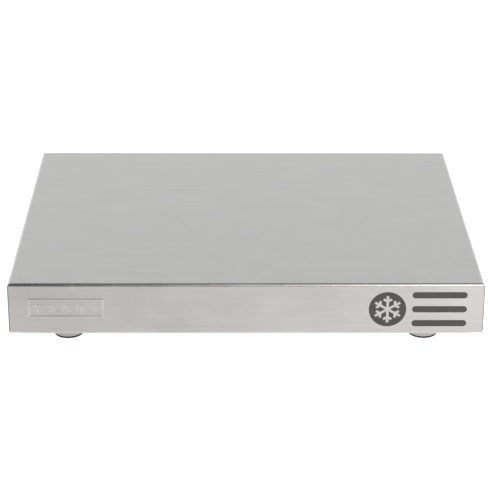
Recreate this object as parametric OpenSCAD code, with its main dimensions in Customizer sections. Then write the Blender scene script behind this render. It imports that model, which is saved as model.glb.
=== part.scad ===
// Cooling plate for a cold buffet: a folded stainless steel body that holds
// two gel packs in foam, closed by a screwed base and standing on four
// levelling feet. X runs along the front, Y to the rear, Z up. The origin is
// at the middle of the footprint, on the surface that the feet stand on.

/* [Body] */
// Width of the body along its front
body_w = 325; // [250:1:530]
// Depth of the body from front to rear
body_d = 265; // [200:1:400]
// Height of the body without its feet
body_h = 37; // [28:1:60]
// Thickness of the cover's sheet
sheet_t = 1; // [0.6:0.1:1.5]
// Outer radius of the cover's folds
fold_r = 2.4; // [1.6:0.1:3]
// Outer radius of the upright corners
corner_r = 1; // [0.5:0.1:2]
// Width of the flange turned in under the body
flange_w = 16; // [14:0.5:24]
// Width of the mitre gap at the flange's corners
mitre_gap = 0.4; // [0.2:0.1:1]

/* [Base] */
// Thickness of the base plate
base_t = 1; // [0.8:0.1:2]
// Distance from the body's side to the base plate's edge
base_inset = 5; // [4:0.5:6]
// Corner radius of the base plate
base_corner_r = 4; // [1:0.5:10]
// Thickness of the gasket under the flange
gasket_t = 0.8; // [0.5:0.1:2]
// Distance from the base plate's edge to the gasket's edge
gasket_inset = 0.5; // [0.2:0.1:1]

/* [Fasteners] */
// Diameter of the base screws
screw_d = 3; // [2.5:0.5:4]
// Length of the base screws under the head
screw_len = 6; // [5:0.5:10]
// Diameter of the screws' button heads
head_d = 5.7; // [5:0.1:6.4]
// Height of the screws' button heads
head_h = 1.6; // [1.2:0.1:3]
// Size of the screws' socket across its flats
socket_flats = 2; // [1.5:0.1:2.5]
// Distance from the body's side to the screws
screw_inset = 11.5; // [10:0.5:12]
// Distance from the body's corner to the end screws, along the front
screw_end = 40; // [20:1:60]
// Diameter of the nuts set in the flange
flange_nut_d = 5.6; // [5:0.1:6]
// Height of the nuts set in the flange
flange_nut_h = 2.4; // [2:0.1:4]

/* [Feet] */
// Diameter of a foot's cup
cup_d = 20; // [16:0.5:30]
// Height of a foot's cup
cup_h = 4.7; // [4:0.1:8]
// Height of the rubber rim that shows under the cup
pad_t = 1.3; // [0.8:0.1:3]
// Diameter of the rubber rim
pad_d = 19.7; // [15:0.1:30]
// Depth of the recess that holds the rubber
pad_seat = 1.2; // [0.8:0.1:1.5]
// Wall of the cup around the rubber
cup_wall = 1.2; // [0.8:0.1:2]
// Thread diameter of a foot's stud
stud_d = 6; // [5:1:8]
// Diameter of the stud's neck in the cup
neck_d = 5; // [4:0.5:6]
// Diameter of the riveted head that holds the stud in its cup
rivet_d = 9; // [8:0.5:10]
// Height of the riveted head
rivet_h = 1.2; // [1:0.1:1.4]
// Size of the stud's hexagon across its flats
hex_flats = 8; // [7:0.5:13]
// Height of the stud's hexagon
hex_h = 2.2; // [1.5:0.1:4]
// How far a foot screws in from its usual height
foot_up = 1.5; // [0.5:0.5:3]
// How far a foot screws out from its usual height
foot_down = 4.5; // [2:0.5:8]
// Distance from the body's side to the foot's middle
foot_side = 38.5; // [30:0.5:80]
// Distance from the body's front or rear to the foot's middle
foot_front = 28; // [27:0.5:80]
// Size of the foot's weld nut across its flats
foot_nut_flats = 10; // [9:0.5:14]
// Height of the foot's weld nut
foot_nut_h = 5; // [4:0.5:8]
// Diameter of the weld nut's collar
foot_nut_collar_d = 15; // [13:0.5:20]

/* [Filling] */
// Depth of foam left over the end of a stud
foam_over = 1; // [0.5:0.5:5]
// Gap between the foam and what it fits in
foam_gap = 1; // [0.5:0.1:2]
// Width of the foam bar between the two packs
pack_apart = 6; // [4:0.5:12]
// Distance from the flange's edge to a pack
pack_margin = 1.5; // [1:0.5:10]
// Gap between a pack and the foam around it
pack_gap = 0.5; // [0.2:0.1:2]
// Wall of a pack's shell
pack_wall = 1.5; // [1:0.1:3]
// Corner radius of a pack
pack_corner_r = 10; // [4:0.5:20]
// Diameter of the filler plug's cap
plug_d = 14; // [12:0.5:15]
// Diameter of the filler plug's stem
plug_stem_d = 9; // [7:0.5:10]
// Length of the filler plug's stem
plug_len = 4; // [3:0.5:8]

/* [Front] */
// Width of the stamped outline on the front
panel_w = 51.5; // [30:0.5:80]
// Height of the stamped outline
panel_h = 13.8; // [10:0.1:16]
// Distance from the body's left side to the outline
panel_left = 13.8; // [10:0.1:40]
// Distance from the body's top to the outline
panel_drop = 10.8; // [6:0.1:14]
// Width of the outline's ridge
ridge_w = 1.2; // [0.6:0.1:2]
// Height that the stamped ridges stand out
ridge_h = 0.3; // [0.1:0.05:0.5]
// Number of snowflakes in the outline
flake_count = 5; // [1:1:7]
// Size of a stamped snowflake
flake_d = 7; // [4:0.5:8]
// Width of a snowflake's lines
flake_line = 0.7; // [0.4:0.1:1]
// Width of the printed mark
mark_w = 67; // [40:1:100]
// Height of the printed mark
mark_h = 25.5; // [12:0.5:26]
// Distance from the body's right side to the mark
mark_right = 11.9; // [8:0.1:40]
// Distance from the body's top to the mark
mark_drop = 5.8; // [4:0.1:10]
// Number of bars in the mark
bar_count = 3; // [2:1:5]
// Height of a bar in the mark
bar_h = 4.6; // [2:0.1:5]
// Gap between the mark's disc and its bars
bar_gap = 4; // [2:0.5:10]
// Thickness of the printed ink
ink_t = 0.1; // [0.05:0.05:0.3]

/* [Hidden] */
$fn = 64;
// clearances: a tapped hole, a turning fit, a seat, a through hole
thread_gap = 0.05;
turn_gap = 0.05;
axial_gap = 0.1;
seat_gap = 0.05;
hole_gap = 0.25;
stop_gap = 0.3;
stud_gap = 1;
// how far a cutter runs past what it cuts
past = 1;
steel = "silver";

// heights, from the floor up
z_cup = pad_t;
z_rivet = z_cup + pad_seat + axial_gap;
z_hex = z_cup + cup_h + 2 * axial_gap;
z_base = z_hex + hex_h + foot_up + stop_gap;
z_gasket = z_base + base_t;
z_body = z_gasket + gasket_t;
z_flange = z_body + sheet_t;
z_top = z_body + body_h;
z_under_top = z_top - sheet_t;
z_foot_nut = z_gasket + foot_nut_h;
z_stud_end = z_foot_nut + foot_down;
z_stud_pocket = z_stud_end + foot_up + stud_gap;
z_pack = z_stud_pocket + foam_over;
pack_h = z_under_top - z_pack;

// plan sizes
open_w = body_w - 2 * flange_w;
open_d = body_d - 2 * flange_w;
foam_inset = sheet_t + max(foam_gap, fold_r - sheet_t);
pack_w = (open_w - 2 * pack_margin - pack_apart) / 2;
pack_d = open_d - 2 * pack_margin;
pack_x = (pack_apart + pack_w) / 2;
foot_x = body_w / 2 - foot_side;
foot_y = body_d / 2 - foot_front;
screw_r = screw_d / 2;
stud_r = stud_d / 2;
// the flange screws: three along the front and rear, one midway down each side
screw_x = body_w / 2 - screw_end;
screw_edge_x = body_w / 2 - screw_inset;
screw_edge_y = body_d / 2 - screw_inset;
screw_points = concat(
    [for (x = [-1, 0, 1], y = [-1, 1]) [x * screw_x, y * screw_edge_y]],
    [for (x = [-1, 1]) [x * screw_edge_x, 0]]
);
// a corner is the sign of X and Y where it stands
front_left = [-1, -1];
front_right = [1, -1];
rear_left = [-1, 1];
rear_right = [1, 1];
corners = [front_left, front_right, rear_left, rear_right];

// A rectangle with round corners, centred.
module rounded(w, d, r) {
    square([w - 2 * r, d], center = true);
    square([w, d - 2 * r], center = true);
    for (x = [-1, 1], y = [-1, 1])
        translate([x * (w / 2 - r), y * (d / 2 - r)])
            circle(r);
}

// A box standing on z, with its level edges rounded to r as folds are.
module folded_box(w, d, h, z, r) {
    intersection() {
        translate([0, d / 2, z + h / 2])
            rotate([90, 0, 0])
                linear_extrude(d)
                    rounded(w, h, r);
        translate([-w / 2, 0, z + h / 2])
            rotate([90, 0, 90])
                linear_extrude(w)
                    rounded(d, h, r);
    }
}

// Copies the children to each flange screw.
module at_screws() {
    for (p = screw_points)
        translate([p[0], p[1], 0])
            children();
}

// Moves the children to one foot.
module at_foot(corner) {
    translate([corner[0] * foot_x, corner[1] * foot_y, 0])
        children();
}

// Draws the children upright on the front of the body, from its top left
// corner, and gives them a thickness that starts at the depth given.
module on_front(x, drop, depth, thick) {
    translate([x - body_w / 2, depth - body_d / 2, z_top - drop])
        rotate([90, 0, 0])
            linear_extrude(thick)
                children();
}

// A six-armed snowflake with a pair of twigs on each arm.
module snowflake(d, line) {
    twig = d / 6;
    for (a = [0:60:120])
        rotate(a)
            square([line, d], center = true);
    for (a = [0:60:300], s = [-1, 1])
        rotate(a)
            translate([0, d * 0.29])
                rotate(s * 60)
                    translate([-line / 2, 0])
                        square([line, twig]);
}

// The outline and its row of snowflakes.
module panel() {
    step = (panel_w - 2 * ridge_w) / flake_count;
    difference() {
        square([panel_w, panel_h], center = true);
        square([panel_w - 2 * ridge_w, panel_h - 2 * ridge_w], center = true);
    }
    for (i = [0:flake_count - 1])
        translate([(i - (flake_count - 1) / 2) * step, 0])
            snowflake(flake_d, flake_line);
}

// The cover: top, four folded sides and the flange turned in under them. The
// stamped ridges stand out from its front.
module top_cover() {
    color(steel) {
        difference() {
            intersection() {
                folded_box(body_w, body_d, body_h, z_body, fold_r);
                translate([0, 0, z_body - past])
                    linear_extrude(body_h + 2 * past)
                        rounded(body_w, body_d, corner_r);
            }
            folded_box(body_w - 2 * sheet_t, body_d - 2 * sheet_t,
                       body_h - 2 * sheet_t, z_flange, fold_r - sheet_t);
            translate([0, 0, z_body + sheet_t / 2])
                cube([open_w, open_d, sheet_t + 2 * past], center = true);
            for (c = corners)
                translate([c[0] * (body_w / 2 - flange_w),
                           c[1] * (body_d / 2 - flange_w), z_body + sheet_t / 2])
                    rotate(atan2(c[1], c[0]))
                        cube([2 * sqrt(2) * (flange_w - fold_r), mitre_gap,
                              sheet_t + 2 * past], center = true);
            at_screws()
                translate([0, 0, z_body - past])
                    cylinder(h = sheet_t + 2 * past, r = screw_r + 0.6 + seat_gap);
        }
        on_front(panel_left + panel_w / 2, panel_drop + panel_h / 2,
                 sheet_t / 2, sheet_t / 2 + ridge_h)
            panel();
    }
}

// The mark printed at the right of the front: a disc with a snowflake left
// clear in it, and a stack of plain bars.
module front_print() {
    bar_w = mark_w - mark_h - bar_gap;
    bar_step = (mark_h - bar_h) / (bar_count - 1);
    color("dimgray") {
        on_front(body_w - mark_right - mark_w + mark_h / 2, mark_drop + mark_h / 2, 0, ink_t)
            difference() {
                circle(d = mark_h);
                snowflake(mark_h * 0.78, mark_h * 0.07);
            }
        for (i = [0:bar_count - 1])
            on_front(body_w - mark_right - bar_w / 2, mark_drop + bar_h / 2 + i * bar_step,
                     0, ink_t)
                rounded(bar_w, bar_h, bar_h / 2 - 0.01);
    }
}

module base_plate() {
    color(steel)
        difference() {
            translate([0, 0, z_base])
                linear_extrude(base_t)
                    rounded(body_w - 2 * base_inset, body_d - 2 * base_inset, base_corner_r);
            translate([0, 0, z_base - past]) {
                at_screws()
                    cylinder(h = base_t + 2 * past, r = screw_r + hole_gap);
                for (c = corners)
                    at_foot(c)
                        cylinder(h = base_t + 2 * past, r = stud_r + hole_gap);
            }
        }
}

module base_gasket() {
    inset = base_inset + gasket_inset;
    color("darkslategray")
        difference() {
            translate([0, 0, z_gasket])
                linear_extrude(gasket_t)
                    rounded(body_w - 2 * inset, body_d - 2 * inset, base_corner_r);
            translate([0, 0, z_gasket + gasket_t / 2])
                cube([open_w, open_d, gasket_t + 2 * past], center = true);
            translate([0, 0, z_gasket - past])
                at_screws()
                    cylinder(h = gasket_t + 2 * past, r = screw_r + hole_gap);
        }
}

// Button-head screws with a hexagon socket, driven from below.
module base_screws() {
    straight = head_h / 3;
    color(steel)
        at_screws()
            difference() {
                union() {
                    translate([0, 0, z_base - straight])
                        cylinder(h = straight, d = head_d);
                    translate([0, 0, z_base - head_h])
                        cylinder(h = head_h - straight, d1 = head_d * 0.6, d2 = head_d);
                    translate([0, 0, z_base - straight / 2])
                        cylinder(h = screw_len + straight / 2, r = screw_r);
                }
                translate([0, 0, z_base - head_h - past])
                    cylinder(h = head_h * 0.65 + past, d = socket_flats / cos(30), $fn = 6);
            }
}

// Round nuts pressed into the flange from inside.
module flange_nuts() {
    color(steel)
        at_screws()
            difference() {
                union() {
                    translate([0, 0, z_flange])
                        cylinder(h = flange_nut_h, d = flange_nut_d);
                    translate([0, 0, z_body + seat_gap])
                        cylinder(h = sheet_t, r = screw_r + 0.6);
                }
                translate([0, 0, z_body - past])
                    cylinder(h = sheet_t + flange_nut_h + 2 * past, r = screw_r + thread_gap);
            }
}

// The foam around the packs, resting on the flange.
module foam_frame() {
    height = z_under_top - z_flange;
    color("lightgray")
        difference() {
            translate([0, 0, z_flange])
                linear_extrude(height)
                    rounded(body_w - 2 * foam_inset, body_d - 2 * foam_inset, corner_r + foam_gap);
            translate([0, 0, z_flange - past])
                linear_extrude(z_pack - z_flange + past)
                    square([open_w, open_d], center = true);
            for (s = [-1, 1])
                translate([s * pack_x, 0, z_flange])
                    linear_extrude(height + past)
                        rounded(pack_w + 2 * pack_gap, pack_d + 2 * pack_gap, pack_corner_r);
            translate([0, 0, z_flange - past])
                at_screws()
                    cylinder(h = past + max(flange_nut_h, screw_len - base_t - gasket_t - sheet_t)
                             + foam_gap, d = flange_nut_d + 2 * foam_gap);
        }
}

// The foam under the packs, with pockets for the feet's nuts and studs.
module foam_board() {
    color("lightgray")
        difference() {
            translate([-open_w / 2 + foam_gap / 2, -open_d / 2 + foam_gap / 2, z_gasket])
                cube([open_w - foam_gap, open_d - foam_gap, z_pack - z_gasket]);
            for (c = corners)
                at_foot(c) {
                    translate([0, 0, z_gasket - past])
                        cylinder(h = foot_nut_h + past + foam_gap,
                                 d = foot_nut_collar_d + 2 * foam_gap);
                    translate([0, 0, z_gasket])
                        cylinder(h = z_stud_pocket - z_gasket, r = stud_r + foam_gap);
                }
        }
}

// What a pack holds: its inside, less the boss around the filler plug.
module pack_inside() {
    difference() {
        translate([0, 0, z_pack + pack_wall])
            linear_extrude(pack_h - 2 * pack_wall)
                rounded(pack_w - 2 * pack_wall, pack_d - 2 * pack_wall,
                        pack_corner_r - pack_wall);
        translate([0, pack_d / 2 - pack_wall - plug_len, z_pack + pack_h / 2])
            rotate([-90, 0, 0])
                cylinder(h = plug_len + past, d = plug_d + 2 * pack_wall);
    }
}

module pack_shell(side) {
    color("deepskyblue")
        translate([side * pack_x, 0, 0])
            difference() {
                translate([0, 0, z_pack])
                    linear_extrude(pack_h)
                        rounded(pack_w, pack_d, pack_corner_r);
                pack_inside();
                translate([0, pack_d / 2, z_pack + pack_h / 2])
                    rotate([90, 0, 0]) {
                        translate([0, 0, -past])
                            cylinder(h = pack_wall + past, d = plug_d + 2 * seat_gap);
                        cylinder(h = pack_wall + plug_len + past, d = plug_stem_d + 2 * seat_gap);
                    }
            }
}

module pack_gel(side) {
    color("lightskyblue")
        translate([side * pack_x, 0, 0])
            pack_inside();
}

// The filler plug, let into the rear of a pack.
module pack_plug(side) {
    color("white")
        translate([side * pack_x, pack_d / 2, z_pack + pack_h / 2])
            rotate([90, 0, 0]) {
                cylinder(h = pack_wall, d = plug_d);
                cylinder(h = pack_wall + plug_len, d = plug_stem_d);
            }
}

// Collared hexagon nuts welded to the base plate over its foot holes.
module foot_nuts() {
    collar_h = foot_nut_h / 5;
    color(steel)
        for (c = corners)
            at_foot(c)
                translate([0, 0, z_gasket])
                    difference() {
                        union() {
                            cylinder(h = collar_h, d = foot_nut_collar_d);
                            cylinder(h = foot_nut_h, d = foot_nut_flats / cos(30), $fn = 6);
                        }
                        translate([0, 0, -past])
                            cylinder(h = foot_nut_h + 2 * past, r = stud_r + thread_gap);
                    }
}

// The stud that turns in its cup: riveted head, neck, hexagon and thread.
module foot_stud(corner) {
    tip = stud_d / 10;
    color(steel)
        at_foot(corner) {
            translate([0, 0, z_rivet])
                cylinder(h = rivet_h, d = rivet_d);
            translate([0, 0, z_rivet])
                cylinder(h = z_hex - z_rivet + hex_h / 2, d = neck_d);
            translate([0, 0, z_hex])
                cylinder(h = hex_h, d = hex_flats / cos(30), $fn = 6);
            translate([0, 0, z_hex + hex_h / 2])
                cylinder(h = z_stud_end - tip - z_hex - hex_h / 2, r = stud_r);
            translate([0, 0, z_stud_end - tip])
                cylinder(h = tip, r1 = stud_r, r2 = stud_r - tip);
        }
}

// The turned metal cup of a foot.
module foot_cup(corner) {
    slope = cup_h / 4;
    color("lightgray")
        at_foot(corner)
            translate([0, 0, z_cup])
                difference() {
                    union() {
                        cylinder(h = cup_h - slope, d = cup_d);
                        translate([0, 0, cup_h - slope])
                            cylinder(h = slope, d1 = cup_d, d2 = cup_d - 3 * slope);
                    }
                    translate([0, 0, -past])
                        cylinder(h = pad_seat + past, d = cup_d - 2 * cup_wall);
                    cylinder(h = pad_seat + rivet_h + 2 * axial_gap, d = rivet_d + 2 * turn_gap);
                    cylinder(h = cup_h + past, d = neck_d + 2 * turn_gap);
                }
}

// The rubber pressed into the cup, with two rings cut in its sole.
module foot_pad(corner) {
    bevel = pad_t / 4;
    ring_depth = pad_t / 3;
    color("black")
        at_foot(corner)
            difference() {
                union() {
                    cylinder(h = bevel, d1 = pad_d - 2 * bevel, d2 = pad_d);
                    translate([0, 0, bevel])
                        cylinder(h = pad_t - bevel, d = pad_d);
                    translate([0, 0, pad_t / 2])
                        cylinder(h = pad_t / 2 + pad_seat - seat_gap,
                                 d = cup_d - 2 * cup_wall - 2 * seat_gap);
                }
                for (r = [pad_d * 0.24, pad_d * 0.37])
                    translate([0, 0, -past])
                        difference() {
                            cylinder(h = past + ring_depth, r = r + ring_depth);
                            translate([0, 0, -past])
                                cylinder(h = 3 * past + ring_depth, r = r - ring_depth);
                        }
            }
}

top_cover();
front_print();
base_plate();
base_gasket();
base_screws();
flange_nuts();
foam_frame();
foam_board();
pack_shell(-1);  // pack_shell_left
pack_gel(-1);  // pack_gel_left
pack_plug(-1);  // pack_plug_left
pack_shell(1);  // pack_shell_right
pack_gel(1);  // pack_gel_right
pack_plug(1);  // pack_plug_right
foot_nuts();
foot_stud(front_left);  // foot_stud_front_left
foot_cup(front_left);  // foot_cup_front_left
foot_pad(front_left);  // foot_pad_front_left
foot_stud(front_right);  // foot_stud_front_right
foot_cup(front_right);  // foot_cup_front_right
foot_pad(front_right);  // foot_pad_front_right
foot_stud(rear_left);  // foot_stud_rear_left
foot_cup(rear_left);  // foot_cup_rear_left
foot_pad(rear_left);  // foot_pad_rear_left
foot_stud(rear_right);  // foot_stud_rear_right
foot_cup(rear_right);  // foot_cup_rear_right
foot_pad(rear_right);  // foot_pad_rear_right
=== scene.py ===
# Cooling plate for a cold buffet, finished on its CAD frame: brushed cover, turned feet, screws.
import math
import bpy
import bmesh
import numpy as np
from mathutils import Matrix, Vector


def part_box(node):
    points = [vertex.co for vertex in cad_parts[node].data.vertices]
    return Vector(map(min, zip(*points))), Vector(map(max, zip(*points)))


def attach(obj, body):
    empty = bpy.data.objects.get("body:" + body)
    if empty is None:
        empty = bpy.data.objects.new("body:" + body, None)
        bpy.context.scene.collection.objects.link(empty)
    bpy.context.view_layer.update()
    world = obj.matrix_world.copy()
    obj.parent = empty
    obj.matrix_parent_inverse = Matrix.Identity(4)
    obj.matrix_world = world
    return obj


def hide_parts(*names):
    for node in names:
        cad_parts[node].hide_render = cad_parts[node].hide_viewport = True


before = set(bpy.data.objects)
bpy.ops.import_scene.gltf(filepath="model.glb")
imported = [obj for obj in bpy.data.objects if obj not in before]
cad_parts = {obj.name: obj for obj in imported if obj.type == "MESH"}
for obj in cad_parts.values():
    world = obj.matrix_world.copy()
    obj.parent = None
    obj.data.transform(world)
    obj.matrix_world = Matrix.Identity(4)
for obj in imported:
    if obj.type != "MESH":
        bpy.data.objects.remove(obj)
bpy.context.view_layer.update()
coverLow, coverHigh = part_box("top_cover")
halfWidth, halfDepth = coverHigh.x, coverHigh.y
topZ, bottomZ = coverHigh.z, coverLow.z
footCorners = ["front_left", "front_right", "rear_left", "rear_right"]
print("frame loaded, body", round(halfWidth * 2, 4), "by", round(halfDepth * 2, 4))


# Helpers for nodes, materials and pieces.

def addNode(tree, kind, **settings):
    made = tree.nodes.new(kind)
    for name, value in settings.items():
        setattr(made, name, value)
    return made


def feed(tree, source, target):
    # a plain number or colour is set, a socket is linked
    if isinstance(source, bpy.types.NodeSocket):
        tree.links.new(source, target)
    else:
        target.default_value = source


def mathNode(tree, operation, first, second=0.0, clamp=False):
    made = addNode(tree, "ShaderNodeMath", operation=operation, use_clamp=clamp)
    for socket, value in zip(made.inputs, (first, second)):
        feed(tree, value, socket)
    return made.outputs[0]


def rangeNode(tree, value, low, high, toLow, toHigh):
    made = addNode(tree, "ShaderNodeMapRange")
    for socket, number in zip(made.inputs, (value, low, high, toLow, toHigh)):
        feed(tree, number, socket)
    return made.outputs[0]


def noiseNode(tree, coords, scale=(1, 1, 1), size=1.0, detail=3.0, rough=0.6, turn=0.0):
    mapping = addNode(tree, "ShaderNodeMapping")
    mapping.inputs["Scale"].default_value = scale
    mapping.inputs["Rotation"].default_value = (0, 0, turn)
    tree.links.new(coords, mapping.inputs["Vector"])
    noise = addNode(tree, "ShaderNodeTexNoise")
    tree.links.new(mapping.outputs[0], noise.inputs["Vector"])
    noise.inputs["Scale"].default_value = size
    noise.inputs["Detail"].default_value = detail
    noise.inputs["Roughness"].default_value = rough
    return noise.outputs["Fac"]


def mixColour(tree, factor, first, second, blend="MIX"):
    made = addNode(tree, "ShaderNodeMix", data_type="RGBA", blend_type=blend)
    feed(tree, factor, made.inputs[0])
    feed(tree, first, made.inputs[6])
    feed(tree, second, made.inputs[7])
    return made.outputs[2]


def newMaterial(name, mapName=None):
    material = bpy.data.materials.new(name)
    material.use_nodes = True
    tree = material.node_tree
    shader = tree.nodes["Principled BSDF"]
    if mapName:
        coords = addNode(tree, "ShaderNodeUVMap", uv_map=mapName).outputs[0]
    else:
        coords = addNode(tree, "ShaderNodeTexCoord").outputs["Object"]
    return material, tree, shader, coords


def bumpNode(tree, height, strength, distance, before=None):
    bump = addNode(tree, "ShaderNodeBump")
    bump.inputs["Strength"].default_value = strength
    bump.inputs["Distance"].default_value = distance
    tree.links.new(height, bump.inputs["Height"])
    if before:
        tree.links.new(before, bump.inputs["Normal"])
    return bump.outputs[0]


def shade(tone):
    return (*tone, 1.0)


def twoTone(tree, value, low, high, spec):
    # the dark tone where the value is low, the light one where it is high
    return mixColour(tree, rangeNode(tree, value, low, high, 0.0, 1.0),
                     shade(spec["dark"]), shade(spec["light"]))


def setRoughness(tree, shader, value, spec, below, above):
    rough = rangeNode(tree, value, 0.3, 0.7, spec["roughness"] - below, spec["roughness"] + above)
    tree.links.new(rough, shader.inputs["Roughness"])


def paint(nodeName, material):
    # puts a material on a CAD node that keeps its own shape
    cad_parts[nodeName].material_slots[0].material = material


def addPiece(name, mesh, material, body, slotName, *replaced):
    mesh.materials.clear()
    mesh.materials.append(material)
    piece = bpy.data.objects.new(name, mesh)
    bpy.context.scene.collection.objects.link(piece)
    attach(piece, body)
    if replaced:
        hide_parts(*replaced)
    return piece


# The brushed sheet of the cover and the base.

coverSteel = {
    "light": (0.418, 0.4145, 0.413), "dark": (0.366, 0.3625, 0.361),
    "roughness": 0.31, "roughnessSpread": 0.04,
    "hairline": (45, 2600, 1),      # brushing, along the sheet and across it
    "streak": (9, 420, 1),          # wider bands in the brushing
    "mottle": 26,                   # handling marks
    "scratch": (18, 2200, 1), "scratchTurns": (0.35, -0.6, 1.9),
    "scratchTone": (0.6, 0.6, 0.59), "scratchShare": 0.2,
    "smudge": (0.925, 1.045),
    "gapShadeTone": (0.11, 0.106, 0.103), "gapShadeShare": 0.95,    # painted shade standing in for a gap down each folded corner, which the sheet does not have
    "wornTone": (0.58, 0.58, 0.57), "wornShare": 0.5, "wornPolish": 0.05,
    "hairlineDepth": 0.000012, "scratchDepth": 0.00001,
}


def sheetSteel(name, spec, mapName=None):
    material, tree, shader, coords = newMaterial(name, mapName)
    hairline = noiseNode(tree, coords, spec["hairline"], detail=5.0, rough=0.75)
    streak = noiseNode(tree, coords, spec["streak"], detail=4.0)
    mottle = noiseNode(tree, coords, size=spec["mottle"], detail=4.0)
    grain = mathNode(tree, "ADD", mathNode(tree, "MULTIPLY", hairline, 0.55),
                     mathNode(tree, "MULTIPLY", streak, 0.45))
    tone = twoTone(tree, grain, 0.35, 0.65, spec)
    smudge = rangeNode(tree, mottle, 0.3, 0.7, *spec["smudge"])
    tone = mixColour(tree, 1.0, tone, smudge, "MULTIPLY")
    scratches = None                # sparse hairline scratches in a few directions
    for turn in spec["scratchTurns"]:
        line = noiseNode(tree, coords, spec["scratch"], detail=2.0, turn=turn)
        line = rangeNode(tree, line, 0.70, 0.80, 0.0, 1.0)
        scratches = line if scratches is None else mathNode(tree, "MAXIMUM", scratches, line)
    tone = mixColour(tree, mathNode(tree, "MULTIPLY", scratches, spec["scratchShare"]), tone,
                     shade(spec["scratchTone"]))
    # painted shade: a dark line down each folded corner, where a gap's shadow would fall
    gapShade = addNode(tree, "ShaderNodeAttribute", attribute_name="cornerGapShade").outputs["Fac"]
    tone = mixColour(tree, mathNode(tree, "MULTIPLY", gapShade, spec["gapShadeShare"]), tone,
                     shade(spec["gapShadeTone"]))
    wear = addNode(tree, "ShaderNodeAttribute", attribute_name="edgeWear").outputs["Fac"]
    worn = mathNode(tree, "MULTIPLY", wear, rangeNode(tree, mottle, 0.35, 0.65, 0.4, 1.0))
    tone = mixColour(tree, mathNode(tree, "MULTIPLY", worn, spec["wornShare"]), tone,
                     shade(spec["wornTone"]))
    tree.links.new(tone, shader.inputs["Base Color"])
    spread = spec["roughnessSpread"]
    rough = rangeNode(tree, mathNode(tree, "ADD", grain, mottle), 0.7, 1.3,
                      spec["roughness"] - spread, spec["roughness"] + spread)
    polish = mathNode(tree, "MULTIPLY", worn, spec["wornPolish"])
    rough = mathNode(tree, "SUBTRACT", rough, polish, clamp=True)
    tree.links.new(rough, shader.inputs["Roughness"])
    normal = bumpNode(tree, grain, 0.5, spec["hairlineDepth"])
    normal = bumpNode(tree, scratches, 0.15, spec["scratchDepth"], normal)
    tree.links.new(normal, shader.inputs["Normal"])
    shader.inputs["Metallic"].default_value = 1.0
    return material


steelCover = sheetSteel("steelCover", coverSteel, "sheet")
baseSteel = dict(coverSteel, light=(0.50, 0.50, 0.49), dark=(0.43, 0.43, 0.425), roughness=0.36)
steelBase = sheetSteel("steelBase", baseSteel)


# The cover: one folded sheet with a stamped outline.

cover = {
    "sheet": 0.001, "fold": 0.0024, "corner": 0.001, "flange": 0.016, "mitre": 0.0004,
    "foldSteps": 10, "cornerSteps": 6, "innerStride": 3, "support": 0.00012,
    "columnStep": 0.008, "rowStep": 0.0025, "endGap": 0.004, "leastCorner": 0.0003,
    "screwEnd": 0.040, "screwEdge": 0.0115, "nutHole": 0.00215, "cutHeight": 0.003,
    "sharpAngle": 50,
}
stamp = {
    "left": 0.0138, "drop": 0.0108, "width": 0.0515, "height": 0.0138,
    "ridge": 0.0012, "ridgeSpread": 0.85, "rise": 0.0003,
    "flakes": 5, "flakeSize": 0.007, "flakeLine": 0.0007, "flakeSpread": 0.8,
    "twigStart": 0.29, "twigShare": 6, "step": 0.0002, "margin": 0.0006,
}


def flakeStrokes(centreX, centreZ, size):
    # the arms of a six-armed snowflake and the pair of twigs on each
    strokes = []
    for turn in range(0, 360, 60):
        along = Vector((math.sin(math.radians(turn)), math.cos(math.radians(turn))))
        middle = Vector((centreX, centreZ))
        strokes.append((middle, middle + along * size / 2))
        for side in (-1, 1):
            lean = math.radians(turn + side * 60)
            start = middle + along * size * stamp["twigStart"]
            twig = Vector((math.sin(lean), math.cos(lean))) * size / stamp["twigShare"]
            strokes.append((start, start + twig))
    return strokes


def stampedRise(x, z):
    # how far the front stands out at each point, from the distance to each stamped line
    centreX = -halfWidth + stamp["left"] + stamp["width"] / 2
    centreZ = topZ - stamp["drop"] - stamp["height"] / 2
    alongX = np.abs(x - centreX) - (stamp["width"] - stamp["ridge"]) / 2
    alongZ = np.abs(z - centreZ) - (stamp["height"] - stamp["ridge"]) / 2
    outside = np.hypot(np.maximum(alongX, 0), np.maximum(alongZ, 0))
    frameGap = np.abs(outside + np.minimum(np.maximum(alongX, alongZ), 0))
    lineGap = np.full_like(x, 1.0)
    spacing = (stamp["width"] - 2 * stamp["ridge"]) / stamp["flakes"]
    for index in range(stamp["flakes"]):
        flakeX = centreX + (index - (stamp["flakes"] - 1) / 2) * spacing
        for start, end in flakeStrokes(flakeX, centreZ, stamp["flakeSize"]):
            run = end - start
            share = ((x - start.x) * run.x + (z - start.y) * run.y) / run.length_squared
            share = np.clip(share, 0, 1)
            gap = np.hypot(x - start.x - share * run.x, z - start.y - share * run.y)
            lineGap = np.minimum(lineGap, gap)
    frameShare = frameGap / (stamp["ridge"] * stamp["ridgeSpread"])
    lineShare = lineGap / (stamp["flakeLine"] * stamp["flakeSpread"])
    frameRise = 0.5 + 0.5 * np.cos(np.pi * np.clip(frameShare, 0, 1))
    lineRise = 0.5 + 0.5 * np.cos(np.pi * np.clip(lineShare, 0, 1))
    return stamp["rise"] * np.maximum(frameRise, lineRise)


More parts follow.
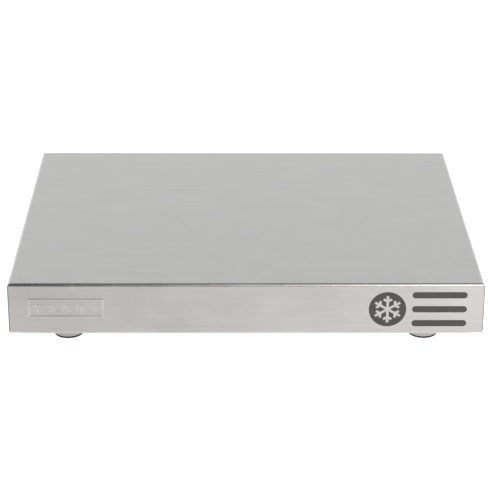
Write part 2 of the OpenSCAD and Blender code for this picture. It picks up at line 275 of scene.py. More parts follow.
def coverRings():
    # (inset, height, run along the sheet, wear), from the top's middle over to the underside
    fold, sheet, support = cover["fold"], cover["sheet"], cover["support"]
    inner = fold - sheet
    rings = [(fold + 0.0006, topZ, -0.0006, 0.0), (fold + support, topZ, -support, 0.0)]
    steps = [math.pi / 2 * k / cover["foldSteps"] for k in range(cover["foldSteps"] + 1)]
    for a in steps:
        rings.append((fold * (1 - math.sin(a)), topZ - fold * (1 - math.cos(a)), fold * a,
                      math.sin(2 * a)))
    sideTop, sideBottom = topZ - fold, bottomZ + fold
    fineTop = topZ - stamp["drop"] + stamp["margin"]
    fineBottom = topZ - stamp["drop"] - stamp["height"] - stamp["margin"]
    rows = [sideTop - support]
    rows += list(np.arange(sideTop - 0.002, fineTop + 0.001, -cover["rowStep"]))
    rows += list(np.arange(fineTop, fineBottom, -stamp["step"]))
    rows += list(np.linspace(fineBottom, sideBottom + 0.001, 5)) + [sideBottom + support]
    turned = fold * math.pi / 2
    for z in rows:
        rings.append((0.0, float(z), turned + sideTop - float(z), 0.0))
    run = turned + sideTop - sideBottom
    for a in steps:
        rings.append((fold * (1 - math.cos(a)), sideBottom - fold * math.sin(a), run + fold * a,
                      math.sin(2 * a)))
    run += turned
    rings.append((fold + support, bottomZ, run + support, 0.0))
    for z in (bottomZ, bottomZ + sheet):
        rings.append((cover["flange"], z, run + cover["flange"] - fold, 0.0))
    innerSteps = steps[::cover["innerStride"]]
    for a in innerSteps:
        rings.append((sheet + inner * (1 - math.sin(a)),
                      bottomZ + sheet + inner * (1 - math.cos(a)), run, 0.0))
    for a in innerSteps:
        rings.append((sheet + inner * (1 - math.cos(a)),
                      topZ - sheet - inner * (1 - math.sin(a)), run, 0.0))
    rings.append((fold + 0.001, topZ - sheet, run, 0.0))
    return rings


def coverColumns():
    # (side, share along the side or None, angle): a walk round the plan from the front's left end
    reachX, reachY = halfWidth - cover["corner"], halfDepth - cover["corner"]
    nearEnd, endGap = cover["support"] * 2, cover["endGap"]
    fineLeft = -halfWidth + stamp["left"] - stamp["margin"]
    fineRight = fineLeft + stamp["width"] + 2 * stamp["margin"]
    front = [-reachX, -reachX + nearEnd, -reachX + endGap]
    front += list(np.arange(fineLeft, fineRight, stamp["step"]))
    front += list(np.arange(fineRight, reachX - endGap, cover["columnStep"]))
    front += [reachX - nearEnd, reachX]
    plain = {}
    for side, reach in ((1, reachY), (2, reachX), (3, reachY)):
        count = int(2 * reach / cover["columnStep"])
        middle = list(np.linspace(-reach + endGap, reach - endGap, count))
        plain[side] = [-reach, -reach + nearEnd] + middle + [reach - nearEnd, reach]
    columns = []
    for side in range(4):
        reach = (reachX, reachY)[side % 2]
        for place in (front if side == 0 else plain[side]):
            columns.append((side, place / reach, 0.0))
        for step in range(1, cover["cornerSteps"]):
            turn = math.pi / 2 * step / cover["cornerSteps"]
            columns.append((side, None, turn))
    return columns


def buildCover():
    rings, columns = coverRings(), coverColumns()
    points = np.zeros((len(rings), len(columns), 3))
    for j, (inset, z, run, wear) in enumerate(rings):
        corner = max(cover["corner"] - inset * 0.6, cover["leastCorner"])
        reachX, reachY = halfWidth - inset - corner, halfDepth - inset - corner
        for k, (side, share, turn) in enumerate(columns):
            if share is None:
                angle = turn + (side - 1) * math.pi / 2
                signX, signY = (1, 1, -1, -1)[side], (-1, 1, 1, -1)[side]
                x = signX * reachX + corner * math.cos(angle)
                y = signY * reachY + corner * math.sin(angle)
            elif side == 0:
                x, y = share * reachX, -halfDepth + inset
            elif side == 1:
                x, y = halfWidth - inset, share * reachY
            elif side == 2:
                x, y = -share * reachX, halfDepth - inset
            else:
                x, y = -halfWidth + inset, -share * reachY
            points[j, k] = (x, y, z)
    isFront = np.array([side == 0 and share is not None for side, share, turn in columns])
    isFlat = np.array([inset == 0.0 for inset, z, run, wear in rings])
    zone = np.outer(isFlat, isFront)
    points[zone, 1] -= stampedRise(points[zone, 0], points[zone, 2])
    ringCount, columnCount = points.shape[:2]
    faces, maps = [], []
    edgeX, edgeY = halfWidth - cover["fold"], halfDepth - cover["fold"]

    def sheetPlace(j, k, side):
        x, y = points[j, k, 0], points[j, k, 1]
        run = rings[j][2]
        return ((x, -edgeY - run), (edgeX + run, y), (x, edgeY + run), (-edgeX - run, y))[side]

    faces.append(list(range(columnCount)))
    maps.append([tuple(points[0, k, :2]) for k in range(columnCount)])
    for j in range(ringCount - 1):
        for k in range(columnCount):
            after = (k + 1) % columnCount
            side, share, turn = columns[k]
            if share is None and turn > math.pi / 4 - 0.01:
                side = (side + 1) % 4
            corners = [(j, k), (j + 1, k), (j + 1, after), (j, after)]
            faces.append([a * columnCount + b for a, b in corners])
            maps.append([sheetPlace(a, b, side) for a, b in corners])
    last = ringCount - 1
    faces.append([last * columnCount + k for k in reversed(range(columnCount))])
    maps.append([tuple(points[last, k, :2]) for k in reversed(range(columnCount))])
    mesh = bpy.data.meshes.new("coverSheet")
    mesh.from_pydata(points.reshape(-1, 3).tolist(), [], faces)
    sheetMap = mesh.uv_layers.new(name="sheet")
    flatMap = np.array([uv for face in maps for uv in face], dtype=np.float32)
    sheetMap.data.foreach_set("uv", flatMap.ravel())
    wearValues = np.zeros((ringCount, columnCount), dtype=np.float32)
    # painted shade down the middle of each corner's arc, standing in for a gap's shadow
    gapShadeColumn = np.array([math.sin(2 * turn) if share is None else 0.0
                             for side, share, turn in columns])
    gapShadeValues = np.zeros_like(wearValues)
    for j, (inset, z, run, wear) in enumerate(rings):
        wearValues[j] = wear
        gapShadeValues[j] = gapShadeColumn if inset < cover["fold"] * 0.6 and run < 0.06 else 0.0
    polish = (-halfDepth - points[:, :, 1]) / stamp["rise"]     # the ridges' crests are rubbed
    wearValues[zone] = np.clip(polish[zone], 0, 1)
    for name, values in (("edgeWear", wearValues), ("cornerGapShade", gapShadeValues)):
        mesh.attributes.new(name, "FLOAT", "POINT").data.foreach_set("value", values.ravel())
    return mesh


def screwPlaces():
    # three along the front and the rear, one midway down each side
    endX, edgeX = halfWidth - cover["screwEnd"], halfWidth - cover["screwEdge"]
    edgeY = halfDepth - cover["screwEdge"]
    frontAndRear = [(x, y) for x in (-endX, 0.0, endX) for y in (-edgeY, edgeY)]
    return frontAndRear + [(-edgeX, 0.0), (edgeX, 0.0)]


def cutFlange(mesh):
    # narrow gaps where the turned-in flanges meet at the corners, and the nuts' holes
    cutters = bmesh.new()
    middleZ = bottomZ + cover["sheet"] / 2
    for x, y in screwPlaces():
        bmesh.ops.create_cone(cutters, cap_ends=True, segments=32, radius1=cover["nutHole"],
                              radius2=cover["nutHole"], depth=cover["cutHeight"],
                              matrix=Matrix.Translation((x, y, middleZ)))
    length = math.sqrt(2) * (cover["flange"] - cover["fold"])
    innerX, innerY = halfWidth - cover["flange"], halfDepth - cover["flange"]
    for signX in (-1, 1):
        for signY in (-1, 1):
            made = bmesh.ops.create_cube(cutters, size=1.0)["verts"]
            bmesh.ops.scale(cutters, verts=made,
                            vec=(2 * length, cover["mitre"], cover["cutHeight"]))
            turn = math.atan2(signY, signX)
            for vert in made:
                x, y = vert.co.x, vert.co.y
                vert.co.x = x * math.cos(turn) - y * math.sin(turn) + signX * innerX
                vert.co.y = x * math.sin(turn) + y * math.cos(turn) + signY * innerY
                vert.co.z += middleZ
    cutterMesh = bpy.data.meshes.new("flangeCutters")
    cutters.to_mesh(cutterMesh)
    cutters.free()
    cutterObject = bpy.data.objects.new("flangeCutters", cutterMesh)
    workObject = bpy.data.objects.new("coverWork", mesh)
    for made in (cutterObject, workObject):
        bpy.context.scene.collection.objects.link(made)
    cut = workObject.modifiers.new("flangeCuts", "BOOLEAN")
    cut.operation, cut.object, cut.solver = "DIFFERENCE", cutterObject, "EXACT"
    result = bpy.data.meshes.new_from_object(
        workObject.evaluated_get(bpy.context.evaluated_depsgraph_get()))
    for made in (cutterObject, workObject):
        bpy.data.objects.remove(made)
    return result


coverMesh = cutFlange(buildCover())
coverMesh.polygons.foreach_set("use_smooth", [True] * len(coverMesh.polygons))
coverMesh.set_sharp_from_angle(angle=math.radians(cover["sharpAngle"]))
addPiece("cover", coverMesh, steelCover, "root", "body_steel", "top_cover")
print("cover", len(coverMesh.vertices), "points")


# Turned pieces and their finishes.

def roundCorners(outline, closed, steps=4):
    # outline is (radius, height, rounding) in metres; gives a finer outline with soft corners
    count, made = len(outline), []
    for index, (r, z, soft) in enumerate(outline):
        here = Vector((r, z))
        if soft == 0 or (not closed and index in (0, count - 1)):
            made.append(here)
            continue
        before = Vector(outline[index - 1][:2])
        after = Vector(outline[(index + 1) % count][:2])
        start = here + (before - here).normalized() * soft
        end = here + (after - here).normalized() * soft
        for step in range(steps + 1):
            t = step / steps
            made.append(start * (1 - t) ** 2 + here * 2 * t * (1 - t) + end * t ** 2)
    return made


def turnedMesh(name, outline, centre, closed, turns=96):
    # spins an outline round an upright axis, with a map of arc length against outline length
    shape = roundCorners(outline, closed)
    lengths, total = [0.0], 0.0
    for first, second in zip(shape, shape[1:] + shape[:1]):
        total += (second - first).length
        lengths.append(total)
    points, faces, maps = [], [], []
    for turn in range(turns):
        angle = 2 * math.pi * turn / turns
        for place in shape:
            points.append((centre.x + place.x * math.cos(angle),
                           centre.y + place.x * math.sin(angle), place.y))
    rows = len(shape)
    reach = max(place.x for place in shape)
    for turn in range(turns):
        after = (turn + 1) % turns
        arcs = [2 * math.pi * reach * (turn + step) / turns for step in (0, 1)]
        for row in range(rows if closed else rows - 1):
            nextRow = (row + 1) % rows
            faces.append([turn * rows + row, after * rows + row,
                          after * rows + nextRow, turn * rows + nextRow])
            maps.append([(arcs[0], lengths[row]), (arcs[1], lengths[row]),
                         (arcs[1], lengths[row + 1]), (arcs[0], lengths[row + 1])])
    mesh = bpy.data.meshes.new(name)
    mesh.from_pydata(points, [], faces)
    layer = mesh.uv_layers.new(name="lathe")
    layer.data.foreach_set("uv", [value for face in maps for uv in face for value in uv])
    return mesh


def finishMesh(mesh, sharpAngle=40):
    shape = bmesh.new()
    shape.from_mesh(mesh)
    bmesh.ops.remove_doubles(shape, verts=shape.verts, dist=0.000002)
    bmesh.ops.dissolve_degenerate(shape, edges=shape.edges, dist=0.000001)
    bmesh.ops.recalc_face_normals(shape, faces=shape.faces)
    shape.to_mesh(mesh)
    shape.free()
    mesh.polygons.foreach_set("use_smooth", [True] * len(mesh.polygons))
    mesh.set_sharp_from_angle(angle=math.radians(sharpAngle))
    return mesh


cupMetal = {
    "light": (0.40, 0.396, 0.386), "dark": (0.31, 0.307, 0.30), "roughness": 0.24,
    "turning": (260, 9000, 1), "mottle": (160, 160, 1), "depth": 0.000012,
}
zincPlate = {
    "light": (0.52, 0.53, 0.55), "dark": (0.38, 0.39, 0.41), "roughness": 0.34,
    "speck": (0.3, 0.3, 0.285), "speckShare": 0.3, "fine": 2400, "cloud": 260, "depth": 0.00001,
}
rubberSole = {
    "light": (0.012, 0.0115, 0.0115), "dark": (0.005, 0.005, 0.005), "roughness": 0.85,
    "sheen": 0.12, "grain": 3800, "dust": 420, "depth": 0.00004,
}


def turnedMetal(name, spec):
    material, tree, shader, coords = newMaterial(name, "lathe")
    marks = noiseNode(tree, coords, spec["turning"], detail=4.0, rough=0.7)
    cloud = noiseNode(tree, coords, spec["mottle"], detail=3.0)
    tone = twoTone(tree, marks, 0.3, 0.7, spec)
    tone = mixColour(tree, 1.0, tone, rangeNode(tree, cloud, 0.3, 0.7, 0.93, 1.04), "MULTIPLY")
    tree.links.new(tone, shader.inputs["Base Color"])
    setRoughness(tree, shader, cloud, spec, 0.05, 0.07)
    tree.links.new(bumpNode(tree, marks, 0.6, spec["depth"]), shader.inputs["Normal"])
    shader.inputs["Metallic"].default_value = 1.0
    return material


def platedMetal(name, spec):
    material, tree, shader, coords = newMaterial(name)
    fine = noiseNode(tree, coords, size=spec["fine"], detail=4.0)
    cloud = noiseNode(tree, coords, size=spec["cloud"], detail=4.0)
    tone = twoTone(tree, cloud, 0.3, 0.7, spec)
    tone = mixColour(tree, rangeNode(tree, fine, 0.55, 0.8, 0.0, spec["speckShare"]), tone,
                     shade(spec["speck"]))
    tree.links.new(tone, shader.inputs["Base Color"])
    setRoughness(tree, shader, cloud, spec, 0.06, 0.08)
    tree.links.new(bumpNode(tree, fine, 0.5, spec["depth"]), shader.inputs["Normal"])
    shader.inputs["Metallic"].default_value = 1.0
    return material


def mouldedRubber(name, spec, mapName=None):
    material, tree, shader, coords = newMaterial(name, mapName)
    grain = noiseNode(tree, coords, size=spec["grain"], detail=3.0)
    dust = noiseNode(tree, coords, size=spec["dust"], detail=5.0)
    tone = twoTone(tree, dust, 0.42, 0.75, spec)
    tree.links.new(tone, shader.inputs["Base Color"])
    setRoughness(tree, shader, dust, spec, 0.1, 0.08)
    tree.links.new(bumpNode(tree, grain, 0.7, spec["depth"]), shader.inputs["Normal"])
    shader.inputs["Specular IOR Level"].default_value = spec["sheen"]
    return material


turnedAluminium = turnedMetal("turnedCup", cupMetal)
plated = platedMetal("platedSteel", zincPlate)
soleRubber = mouldedRubber("soleRubber", rubberSole, "lathe")


# The feet: cup, rubber sole and threaded stud.

foot = {
    "cupWall": 0.0012, "soleSeat": 0.0012, "soleRings": (0.24, 0.37),
    "rivetRadius": 0.0045, "rivetHeight": 0.0012, "neckRadius": 0.0025,
    "turnGap": 0.00005, "axialGap": 0.0001,
    "hexFlats": 0.008, "hexHeight": 0.0022, "hexSteps": 48, "hexBevel": 0.0003,
    "threadRadius": 0.003, "threadPitch": 0.001, "threadDepth": 0.00045,
}


def cupOutline(z, r, h):
    slope = h / 4
    hole = foot["neckRadius"] + foot["turnGap"]
    seat = foot["rivetRadius"] + foot["turnGap"]
    shelf = foot["soleSeat"] + foot["rivetHeight"] + 2 * foot["axialGap"]
    return [
        (r - foot["cupWall"], z, 0.0002), (r, z, 0.0002), (r, z + h - slope, 0.0006),
        (r - 1.5 * slope, z + h, 0.0005), (hole, z + h, 0.0002), (hole, z + shelf, 0.0),
        (seat, z + shelf, 0.0), (seat, z + foot["soleSeat"], 0.0002),
        (r - foot["cupWall"], z + foot["soleSeat"], 0.0),
    ]


def soleOutline(low, high, outer, rim, seat):
    cut = rim / 3
    shape = [(0.0, low, 0.0)]
    for share in foot["soleRings"]:     # two rings cut in the sole
        middle = outer * 2 * share
        shape += [(middle - cut * 0.8, low, 0.00012), (middle - cut * 0.5, low + cut, 0.00012),
                  (middle + cut * 0.5, low + cut, 0.00012), (middle + cut * 0.8, low, 0.00012)]
    shape += [(outer - rim / 8, low, 0.00006), (outer, low + rim / 8, 0.00006),
              (outer, low + rim, 0.00005), (seat, low + rim, 0.0), (seat, high, 0.0003),
              (0.0, high, 0.0)]
    return shape


def hexagonMesh(centre, low, high, flats):
    # a hexagon with its corners turned off, as bar stock is
    shape = bmesh.new()
    corner = flats / 2 / math.cos(math.pi / 6)
    steps, bevel = foot["hexSteps"], foot["hexBevel"]
    levels = [(low, 0.955), (low + bevel, 1.0), (high - bevel, 1.0), (high, 0.955)]
    loops = []
    for z, share in levels:
        loop = []
        for step in range(steps):
            angle = 2 * math.pi * step / steps
            reach = flats / 2 / math.cos(angle % (math.pi / 3) - math.pi / 6)
            reach = min(reach, corner * share * 0.995)
            loop.append(shape.verts.new((centre.x + reach * math.cos(angle),
                                         centre.y + reach * math.sin(angle), z)))
        loops.append(loop)
    for first, second in zip(loops, loops[1:]):
        for step in range(steps):
            after = (step + 1) % steps
            shape.faces.new((first[step], first[after], second[after], second[step]))
    shape.faces.new(list(reversed(loops[0])))
    shape.faces.new(loops[-1])
    mesh = bpy.data.meshes.new("hexagon")
    shape.to_mesh(mesh)
    shape.free()
    return mesh


def joinMeshes(name, meshes):
    shape = bmesh.new()
    for mesh in meshes:
        shape.from_mesh(mesh)
    joined = bpy.data.meshes.new(name)
    shape.to_mesh(joined)
    shape.free()
    return joined


def newTree(name, inputs):
    tree = bpy.data.node_groups.new(name, "GeometryNodeTree")
    tree.interface.new_socket("Geometry", in_out="INPUT", socket_type="NodeSocketGeometry")
    sockets = {}
    for label, kind in inputs:
        socket = tree.interface.new_socket(label, in_out="INPUT", socket_type=kind)
        sockets[label] = socket.identifier
    tree.interface.new_socket("Geometry", in_out="OUTPUT", socket_type="NodeSocketGeometry")
    return tree, sockets, tree.nodes.new("NodeGroupInput"), tree.nodes.new("NodeGroupOutput")


def dressResult(tree, made, source, sink):
    # turns what was made into plain mesh, gives it the finish and sends it out
    real = tree.nodes.new("GeometryNodeRealizeInstances")
    tree.links.new(made.outputs[0], real.inputs[0])
    dress = tree.nodes.new("GeometryNodeSetMaterial")
    tree.links.new(real.outputs[0], dress.inputs["Geometry"])
    tree.links.new(source.outputs["Finish"], dress.inputs["Material"])
    tree.links.new(dress.outputs[0], sink.inputs[0])


def threadTree():
    # winds a sharp ridge round the core that comes in
    tree, sockets, source, sink = newTree("threadRidge", [
        ("Radius", "NodeSocketFloat"), ("Pitch", "NodeSocketFloat"), ("Length", "NodeSocketFloat"),
        ("Ridge", "NodeSocketFloat"), ("Start", "NodeSocketVector"),
        ("Finish", "NodeSocketMaterial")])
    turns = addNode(tree, "ShaderNodeMath", operation="DIVIDE")
    tree.links.new(source.outputs["Length"], turns.inputs[0])
    tree.links.new(source.outputs["Pitch"], turns.inputs[1])
    spiral = tree.nodes.new("GeometryNodeCurveSpiral")
    spiral.inputs["Resolution"].default_value = 32
    tree.links.new(turns.outputs[0], spiral.inputs["Rotations"])
    tree.links.new(source.outputs["Radius"], spiral.inputs["Start Radius"])
    tree.links.new(source.outputs["Radius"], spiral.inputs["End Radius"])
    tree.links.new(source.outputs["Length"], spiral.inputs["Height"])
    upright = tree.nodes.new("GeometryNodeSetCurveNormal")
    upright.mode = "Z_UP"
    tree.links.new(spiral.outputs[0], upright.inputs[0])
    profile = tree.nodes.new("GeometryNodeCurvePrimitiveCircle")
    profile.inputs["Resolution"].default_value = 4
    tree.links.new(source.outputs["Ridge"], profile.inputs["Radius"])
    sweep = tree.nodes.new("GeometryNodeCurveToMesh")
    sweep.inputs["Fill Caps"].default_value = True
    tree.links.new(upright.outputs[0], sweep.inputs["Curve"])
    tree.links.new(profile.outputs[0], sweep.inputs["Profile Curve"])
    place = tree.nodes.new("GeometryNodeTransform")
    tree.links.new(sweep.outputs[0], place.inputs["Geometry"])
    tree.links.new(source.outputs["Start"], place.inputs["Translation"])
    both = tree.nodes.new("GeometryNodeJoinGeometry")
    tree.links.new(place.outputs[0], both.inputs[0])
    tree.links.new(source.outputs["Geometry"], both.inputs[0])
    dressResult(tree, both, source, sink)
    return tree, sockets


def runTree(name, mesh, tree, sockets, values):
    # evaluates a tree on a mesh and keeps the result as a plain mesh
    carrier = bpy.data.objects.new(name, mesh)
    bpy.context.scene.collection.objects.link(carrier)
    modifier = carrier.modifiers.new(name, "NODES")
    modifier.node_group = tree
    for label, value in values.items():
        modifier[sockets[label]] = value
    result = bpy.data.meshes.new_from_object(
        carrier.evaluated_get(bpy.context.evaluated_depsgraph_get()))
    result.name = name
    carrier.modifiers.clear()
    bpy.data.objects.remove(carrier)
    return result


ridgeTree, ridgeSockets = threadTree()
for corner in footCorners:
    cupLow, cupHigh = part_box("foot_cup_" + corner)
    padLow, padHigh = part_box("foot_pad_" + corner)
    studLow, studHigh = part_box("foot_stud_" + corner)
    centre = (cupLow + cupHigh) / 2
    radius = (cupHigh.x - cupLow.x) / 2
    cupShape = cupOutline(cupLow.z, radius, cupHigh.z - cupLow.z)
    cupMesh = finishMesh(turnedMesh("cup_" + corner, cupShape, centre, True))
    addPiece("cup_" + corner, cupMesh, turnedAluminium, "foot_" + corner, "foot_metal",
             "foot_cup_" + corner)
    soleShape = soleOutline(padLow.z, padHigh.z, (padHigh.x - padLow.x) / 2,
                            cupLow.z - padLow.z, radius - foot["cupWall"] - foot["turnGap"])
    soleMesh = finishMesh(turnedMesh("sole_" + corner, soleShape, centre, False))
    addPiece("sole_" + corner, soleMesh, soleRubber, "foot_" + corner, "foot_rubber",
             "foot_pad_" + corner)
    hexLow = cupHigh.z + foot["axialGap"]
    hexHigh = hexLow + foot["hexHeight"]
    root = foot["threadRadius"] - foot["threadDepth"]
    core = turnedMesh("core", [
        (0.0, studLow.z, 0.0), (foot["rivetRadius"], studLow.z, 0.0003),
        (foot["rivetRadius"], studLow.z + foot["rivetHeight"], 0.0001),
        (foot["neckRadius"], studLow.z + foot["rivetHeight"], 0.0),
        (foot["neckRadius"], hexLow + 0.001, 0.0), (root, hexLow + 0.001, 0.0),
        (root, studHigh.z - 0.0004, 0.0002), (root - 0.0004, studHigh.z, 0.0001),
        (0.0, studHigh.z, 0.0)], centre, False, 48)
    core = joinMeshes("core", [finishMesh(core), hexagonMesh(centre, hexLow, hexHigh,
                                                            foot["hexFlats"])])
    studMesh = runTree("stud_" + corner, core, ridgeTree, ridgeSockets, {
        "Radius": root, "Pitch": foot["threadPitch"],
        "Length": studHigh.z - hexHigh - 0.0012, "Ridge": foot["threadDepth"],
        "Start": (centre.x, centre.y, hexHigh + 0.0003), "Finish": plated})
    finishMesh(studMesh, 35)
    addPiece("stud_" + corner, studMesh, plated, "stud_" + corner, "fastener_steel",
             "foot_stud_" + corner)
print("feet", len(footCorners))


# The base screws: one button head, repeated round the base.

screw = {
    "headRadius": 0.00285, "headHeight": 0.0016, "shankRadius": 0.00145, "socketFlats": 0.002,
    "socketDepth": 0.00104, "edge": 0.0001, "tip": 0.0003, "crownSteps": 6, "steps": 36,
    "seed": 4, "sharpAngle": 35,
}


def screwMesh(baseZ, tipZ):
    # the socket is a hexagon let into the head, so each ring of the head blends from it
    shape = bmesh.new()
    height, radius, shank = screw["headHeight"], screw["headRadius"], screw["shankRadius"]
    edge, tip, steps = screw["edge"], screw["tip"], screw["steps"]
    low = baseZ - height
    socket = screw["socketFlats"] / 2
    floorZ = low + screw["socketDepth"]
    levels = [("socket", 0.0, floorZ), ("socket", socket, floorZ),
              ("socket", socket, low + edge), ("round", socket * 1.28, low)]
    for step in range(1, screw["crownSteps"] + 1):      # crowned side of the head
        share = step / screw["crownSteps"]
        levels.append(("round", radius * (0.6 + 0.4 * math.sin(share * math.pi / 2)),
                       low + (height - 0.0003) * (1 - math.cos(share * math.pi / 2))))
    levels += [("round", radius, baseZ - edge), ("round", radius - edge, baseZ),
               ("round", shank, baseZ), ("round", shank, tipZ - tip),
               ("round", shank - tip, tipZ), ("round", 0.0, tipZ)]
    loops = []
    for kind, reach, z in levels:
        loop = []
        for step in range(steps):
            angle = 2 * math.pi * step / steps
            out = reach
            if kind == "socket" and reach:
                out = reach / math.cos(angle % (math.pi / 3) - math.pi / 6)
            loop.append(shape.verts.new((out * math.cos(angle), out * math.sin(angle), z)))
        loops.append(loop)
    for first, second in zip(loops, loops[1:]):
        for step in range(steps):
            after = (step + 1) % steps
            shape.faces.new((first[step], second[step], second[after], first[after]))
    mesh = bpy.data.meshes.new("screwMaster")
    shape.to_mesh(mesh)
    shape.free()
    return finishMesh(mesh, screw["sharpAngle"])


def screwTree():
    # sets the master screw on each point, each turned its own way
    tree, sockets, source, sink = newTree("screwsOnPoints", [
        ("Screw", "NodeSocketObject"), ("Turn", "NodeSocketFloat"), ("Seed", "NodeSocketInt"),
        ("Finish", "NodeSocketMaterial")])
    info = tree.nodes.new("GeometryNodeObjectInfo")
    tree.links.new(source.outputs["Screw"], info.inputs[0])
    spread = tree.nodes.new("FunctionNodeRandomValue")
    spread.data_type = "FLOAT"
    tree.links.new(source.outputs["Turn"], spread.inputs[3])
    tree.links.new(source.outputs["Seed"], spread.inputs["Seed"])
    turn = tree.nodes.new("ShaderNodeCombineXYZ")
    tree.links.new(spread.outputs[1], turn.inputs["Z"])
    copies = tree.nodes.new("GeometryNodeInstanceOnPoints")
    tree.links.new(source.outputs["Geometry"], copies.inputs["Points"])
    tree.links.new(info.outputs["Geometry"], copies.inputs["Instance"])
    tree.links.new(turn.outputs[0], copies.inputs["Rotation"])
    dressResult(tree, copies, source, sink)
    return tree, sockets


baseBottom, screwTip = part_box("base_plate")[0].z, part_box("base_screws")[1].z
master = bpy.data.objects.new("screwMaster", screwMesh(baseBottom, screwTip))
bpy.context.scene.collection.objects.link(master)
screwPoints = [(x, y, 0.0) for x, y in screwPlaces()]
pointMesh = bpy.data.meshes.new("screwPoints")
pointMesh.from_pydata(screwPoints, [], [])
placeTree, placeSockets = screwTree()
screwsMesh = runTree("screws", pointMesh, placeTree, placeSockets, {
    "Screw": master, "Turn": math.pi / 3, "Seed": screw["seed"], "Finish": plated})
bpy.data.objects.remove(master)
screwsMesh.set_sharp_from_angle(angle=math.radians(screw["sharpAngle"]))
addPiece("baseScrews", screwsMesh, plated, "root", "fastener_steel", "base_screws")
print("screws", len(screwPoints))


# Finishes for the nodes that keep their CAD shape.

ink = {
    "light": (0.038, 0.0345, 0.034), "dark": (0.026, 0.0245, 0.024), "roughness": 0.42,
    "fine": 5200, "cloud": 340, "depth": 0.00001,
}
foamStuff = {
    "light": (0.82, 0.83, 0.84), "dark": (0.68, 0.69, 0.70), "roughness": 0.9,
    "cell": 900, "cloud": 60, "depth": 0.0002,
}
shellPlastic = {
    "light": (0.06, 0.30, 0.62), "dark": (0.045, 0.25, 0.55), "roughness": 0.38,
    "fine": 1500, "cloud": 40, "depth": 0.00005,
}
gelStuff = {
    "light": (0.25, 0.55, 0.85), "dark": (0.14, 0.42, 0.76), "roughness": 0.12,
    "fine": 500, "cloud": 90, "depth": 0.0001,
}
plugPlastic = {
    "light": (0.86, 0.87, 0.88), "dark": (0.78, 0.79, 0.80), "roughness": 0.4,
    "fine": 1500, "cloud": 120, "depth": 0.00004,
}
siliconeSpec = {
    "light": (0.20, 0.22, 0.23), "dark": (0.14, 0.155, 0.16), "roughness": 0.62,
    "sheen": 0.12, "grain": 1800, "dust": 150, "depth": 0.00003,
}


def plasticFinish(name, spec):
    material, tree, shader, coords = newMaterial(name)
    fine = noiseNode(tree, coords, size=spec["fine"], detail=3.0)
    cloud = noiseNode(tree, coords, size=spec["cloud"], detail=4.0)
    tree.links.new(twoTone(tree, cloud, 0.3, 0.7, spec), shader.inputs["Base Color"])
    setRoughness(tree, shader, cloud, spec, 0.05, 0.08)
    tree.links.new(bumpNode(tree, fine, 0.5, spec["depth"]), shader.inputs["Normal"])
    return material


def foamFinish(name, spec):
    material, tree, shader, coords = newMaterial(name)
    cells = addNode(tree, "ShaderNodeTexVoronoi")
    cells.inputs["Scale"].default_value = spec["cell"]
    tree.links.new(coords, cells.inputs["Vector"])
    cloud = noiseNode(tree, coords, size=spec["cloud"], detail=4.0)
    tone = twoTone(tree, cells.outputs["Distance"], 0.0, 0.7, spec)
    tone = mixColour(tree, 1.0, tone, rangeNode(tree, cloud, 0.3, 0.7, 0.95, 1.02), "MULTIPLY")
    tree.links.new(tone, shader.inputs["Base Color"])
    normal = bumpNode(tree, cells.outputs["Distance"], 0.6, spec["depth"])
    tree.links.new(normal, shader.inputs["Normal"])
    shader.inputs["Roughness"].default_value = spec["roughness"]
    return material


paint("front_print", plasticFinish("printInk", ink))
paint("base_plate", steelBase)
paint("base_gasket", mouldedRubber("siliconeGasket", siliconeSpec))
foam = foamFinish("whiteFoam", foamStuff)
shellMaterial = plasticFinish("packShell", shellPlastic)
gelMaterial = plasticFinish("packGel", gelStuff)
plugMaterial = plasticFinish("plugPlastic", plugPlastic)
for nodeName in ("foam_frame", "foam_board"):
    paint(nodeName, foam)
for nodeName in ("flange_nuts", "foot_nuts"):
    paint(nodeName, plated)
for side in ("left", "right"):
    paint("pack_shell_" + side, shellMaterial)
    paint("pack_gel_" + side, gelMaterial)
    paint("pack_plug_" + side, plugMaterial)
print("finishes set")


# Floor, light and camera.

studio = {
    "floorSize": 14.0, "floorTone": 0.5, "floorRoughness": 0.9,
    "floorGlow": (0.80, 1.31), "glowReach": 0.2,    # from left to right
    "nearGlow": (-0.27, -0.12), "nearGain": 1.22,   # brighter close to the front
    "evenFrom": (-0.16, -0.143), "evenGlow": 0.92, "evenShare": 0.35,
    "glowColour": (1.0, 0.95, 0.947, 1.0),
    "sky": [(0.0, 1.29), (0.2, 1.29), (0.38, 1.27), (0.6, 1.1), (0.8, 0.3), (1.0, 0.03)],
    "darkFront": (0.78, 0.93), "darkAbove": (0.12, 0.3), "darkShare": 0.03,     # the room in front
    "lamps": {
        "frontRight": {"place": (0.72, -2.5, 1.72), "aim": (0.1, 0.0, 0.1), "size": 1.0,
                       "power": 17.0},
        "overRight": {"place": (0.75, -0.9, 2.1), "aim": (0.1, 0.0, 0.0), "size": 1.4,
                      "power": 16.0},
    },
}
camera = {
    "lens": 135.85, "place": (-0.0124, -1.2747, 0.5544), "pitch": 22.61, "turn": -0.493,
}

floorMesh = bpy.data.meshes.new("floor")
floorReach = studio["floorSize"] / 2
floorCorners = [(x * floorReach, y * floorReach, 0)
                for x, y in ((-1, -1), (1, -1), (1, 1), (-1, 1))]
floorMesh.from_pydata(floorCorners, [], [(0, 1, 2, 3)])
floor = bpy.data.objects.new("floor", floorMesh)
bpy.context.scene.collection.objects.link(floor)
floorMaterial, tree, shader, coords = newMaterial("paleFloor")
shader.inputs["Base Color"].default_value = shade((studio["floorTone"],) * 3)
shader.inputs["Roughness"].default_value = studio["floorRoughness"]
shader.inputs["Specular IOR Level"].default_value = 0.0
axes = addNode(tree, "ShaderNodeSeparateXYZ")
tree.links.new(coords, axes.inputs[0])
share = rangeNode(tree, axes.outputs["X"], -studio["glowReach"], studio["glowReach"], 0.0, 1.0)
glow = rangeNode(tree, mathNode(tree, "POWER", share, 2.0), 0.0, 1.0, *studio["floorGlow"])
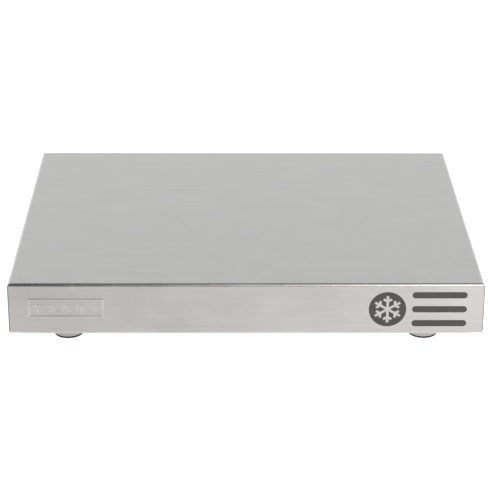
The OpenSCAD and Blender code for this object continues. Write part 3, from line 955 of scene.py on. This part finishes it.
gain = rangeNode(tree, axes.outputs["Y"], *studio["nearGlow"], 1.0, studio["nearGain"])
glow = mathNode(tree, "MULTIPLY", glow, gain)
# the glow evens out close to the body, where only the lower fold reflects it
apart = rangeNode(tree, axes.outputs["Y"], *studio["evenFrom"], 1.0, studio["evenShare"])
glow = mathNode(tree, "SUBTRACT", glow, studio["evenGlow"])
glow = mathNode(tree, "ADD", mathNode(tree, "MULTIPLY", glow, apart), studio["evenGlow"])
shader.inputs["Emission Color"].default_value = studio["glowColour"]
tree.links.new(glow, shader.inputs["Emission Strength"])
floorMesh.materials.append(floorMaterial)

world = bpy.data.worlds.new("studioSky")
bpy.context.scene.world = world
world.use_nodes = True
tree = world.node_tree
direction = addNode(tree, "ShaderNodeTexCoord").outputs["Generated"]
axes = addNode(tree, "ShaderNodeSeparateXYZ")
tree.links.new(direction, axes.inputs[0])
ramp = addNode(tree, "ShaderNodeValToRGB")
tree.links.new(axes.outputs["Z"], ramp.inputs[0])
stops = ramp.color_ramp.elements
while len(stops) < len(studio["sky"]):
    stops.new(0.5)
for stop, (height, tone) in zip(stops, studio["sky"]):
    stop.position = height
    stop.color = (tone, tone, tone, 1.0)
squares = [mathNode(tree, "POWER", axes.outputs[axis], 2.0) for axis in ("X", "Y")]
flat = mathNode(tree, "SQRT", mathNode(tree, "ADD", *squares))
toFront = mathNode(tree, "DIVIDE", mathNode(tree, "MULTIPLY", axes.outputs["Y"], -1.0), flat)
unlit = mathNode(tree, "MULTIPLY", rangeNode(tree, toFront, *studio["darkFront"], 0.0, 1.0),
                 rangeNode(tree, axes.outputs["Z"], *studio["darkAbove"], 0.0, 1.0))
tree.links.new(ramp.outputs[0], tree.nodes["Background"].inputs["Color"])
tree.links.new(rangeNode(tree, unlit, 0.0, 1.0, 1.0, studio["darkShare"]),
               tree.nodes["Background"].inputs["Strength"])

for name, lamp in studio["lamps"].items():
    light = bpy.data.lights.new(name, "AREA")
    light.shape, light.size, light.energy = "SQUARE", lamp["size"], lamp["power"]
    lampObject = bpy.data.objects.new(name, light)
    bpy.context.scene.collection.objects.link(lampObject)
    lampObject.location = lamp["place"]
    toAim = Vector(lamp["aim"]) - Vector(lamp["place"])
    lampObject.rotation_euler = toAim.to_track_quat("-Z", "Y").to_euler()

cameraData = bpy.data.cameras.new("camera")
cameraData.lens = camera["lens"]
cameraObject = bpy.data.objects.new("camera", cameraData)
bpy.context.scene.collection.objects.link(cameraObject)
cameraObject.location = camera["place"]
# turned about its own upright, which keeps the front's long edges level
cameraObject.rotation_mode = "YXZ"
cameraObject.rotation_euler = [math.radians(angle)
                               for angle in (90 - camera["pitch"], camera["turn"], 0)]
bpy.context.scene.camera = cameraObject
bpy.context.scene.view_settings.view_transform = "Standard"
print("studio set")
